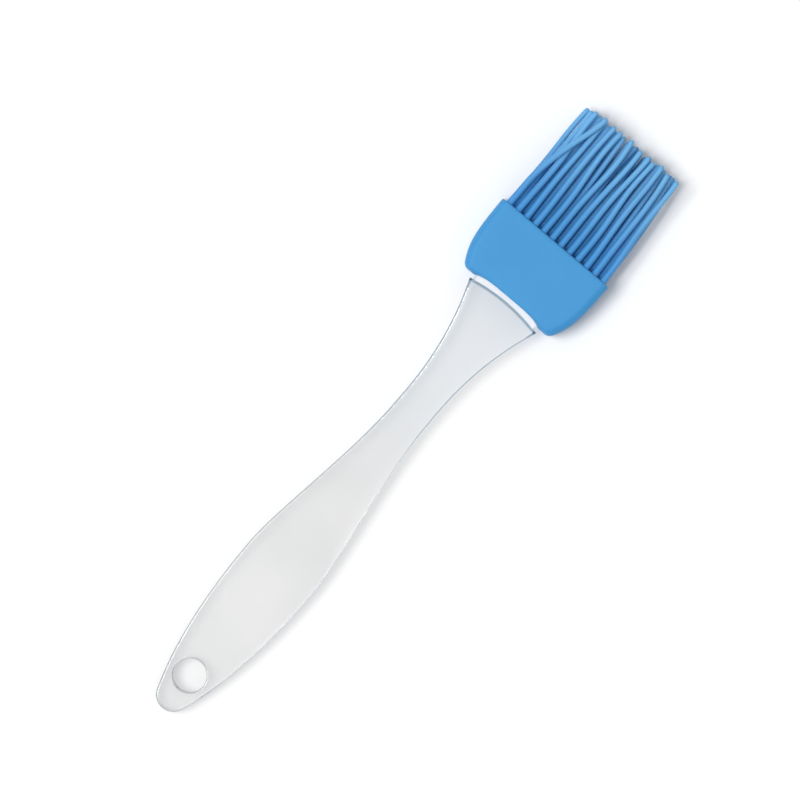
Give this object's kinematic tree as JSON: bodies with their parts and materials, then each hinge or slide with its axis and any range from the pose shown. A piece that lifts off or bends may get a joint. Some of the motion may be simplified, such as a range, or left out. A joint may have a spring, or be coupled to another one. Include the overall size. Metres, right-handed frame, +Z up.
{
  "type": "pastry brush",
  "caption": "Flat silicone pastry brush: clear waisted plastic handle with a hang hole, a push-on silicone head and staggered rows of bristles that bend.",
  "frame": {"origin": "under the middle of the brush's bounding box, on the surface that the brush lies on", "axes": "+X along the brush towards the bristle tips, +Y across its width, +Z up from the surface it lies on; the brush's own axis rises 1.09 degrees towards the tips because the head is thicker than the handle"},
  "size_m": [0.175, 0.033, 0.011],
  "materials": {
    "clear_plastic": "satin",
    "blue_silicone": "matte"
  },
  "bodies": {
    "handle": {"handle": "clear_plastic"},
    "head": {"silicone_sleeve": "blue_silicone"},
    "bristle_row_1": {"bristle_1_01": "blue_silicone", "bristle_1_02": "blue_silicone", "bristle_1_03": "blue_silicone", "bristle_1_04": "blue_silicone", "bristle_1_05": "blue_silicone", "bristle_1_06": "blue_silicone", "bristle_1_07": "blue_silicone", "bristle_1_08": "blue_silicone", "bristle_1_09": "blue_silicone", "bristle_1_10": "blue_silicone", "bristle_1_11": "blue_silicone"},
    "bristle_row_2": {"bristle_2_01": "blue_silicone", "bristle_2_02": "blue_silicone", "bristle_2_03": "blue_silicone", "bristle_2_04": "blue_silicone", "bristle_2_05": "blue_silicone", "bristle_2_06": "blue_silicone", "bristle_2_07": "blue_silicone", "bristle_2_08": "blue_silicone", "bristle_2_09": "blue_silicone", "bristle_2_10": "blue_silicone", "bristle_2_11": "blue_silicone", "bristle_2_12": "blue_silicone"},
    "bristle_row_3": {"bristle_3_01": "blue_silicone", "bristle_3_02": "blue_silicone", "bristle_3_03": "blue_silicone", "bristle_3_04": "blue_silicone", "bristle_3_05": "blue_silicone", "bristle_3_06": "blue_silicone", "bristle_3_07": "blue_silicone", "bristle_3_08": "blue_silicone", "bristle_3_09": "blue_silicone", "bristle_3_10": "blue_silicone", "bristle_3_11": "blue_silicone"},
    "bristle_row_4": {"bristle_4_01": "blue_silicone", "bristle_4_02": "blue_silicone", "bristle_4_03": "blue_silicone", "bristle_4_04": "blue_silicone", "bristle_4_05": "blue_silicone", "bristle_4_06": "blue_silicone", "bristle_4_07": "blue_silicone", "bristle_4_08": "blue_silicone", "bristle_4_09": "blue_silicone", "bristle_4_10": "blue_silicone", "bristle_4_11": "blue_silicone", "bristle_4_12": "blue_silicone"}
  },
  "joints": [
    {"name": "head_pull", "type": "slide", "parent": "handle", "child": "head", "axis": [0.9998, 0, 0.019], "range_m": [0, 0.02]},
    {"name": "bristle_row_1_bend", "type": "hinge", "parent": "head", "child": "bristle_row_1", "pos_m": [0.05925, 0, 0.00162], "axis": [0, -1, 0], "range_deg": [-40, 40], "stiffness_Nm_per_rad": 0.002, "springref_deg": 2.41},
    {"name": "bristle_row_2_bend", "type": "hinge", "parent": "head", "child": "bristle_row_2", "pos_m": [0.0592, 0, 0.00422], "axis": [0, -1, 0], "range_deg": [-40, 40], "stiffness_Nm_per_rad": 0.002, "springref_deg": 2.41},
    {"name": "bristle_row_3_bend", "type": "hinge", "parent": "head", "child": "bristle_row_3", "pos_m": [0.05915, 0, 0.00682], "axis": [0, -1, 0], "range_deg": [-40, 40], "stiffness_Nm_per_rad": 0.002, "springref_deg": 2.41},
    {"name": "bristle_row_4_bend", "type": "hinge", "parent": "head", "child": "bristle_row_4", "pos_m": [0.0591, 0, 0.00942], "axis": [0, -1, 0], "range_deg": [-40, 40], "stiffness_Nm_per_rad": 0.002, "springref_deg": 2.41}
  ],
  "couplings": [
    {"joint": "bristle_row_2_bend", "follows": "bristle_row_1_bend", "ratio": 1},
    {"joint": "bristle_row_3_bend", "follows": "bristle_row_1_bend", "ratio": 1},
    {"joint": "bristle_row_4_bend", "follows": "bristle_row_1_bend", "ratio": 1}
  ]
}
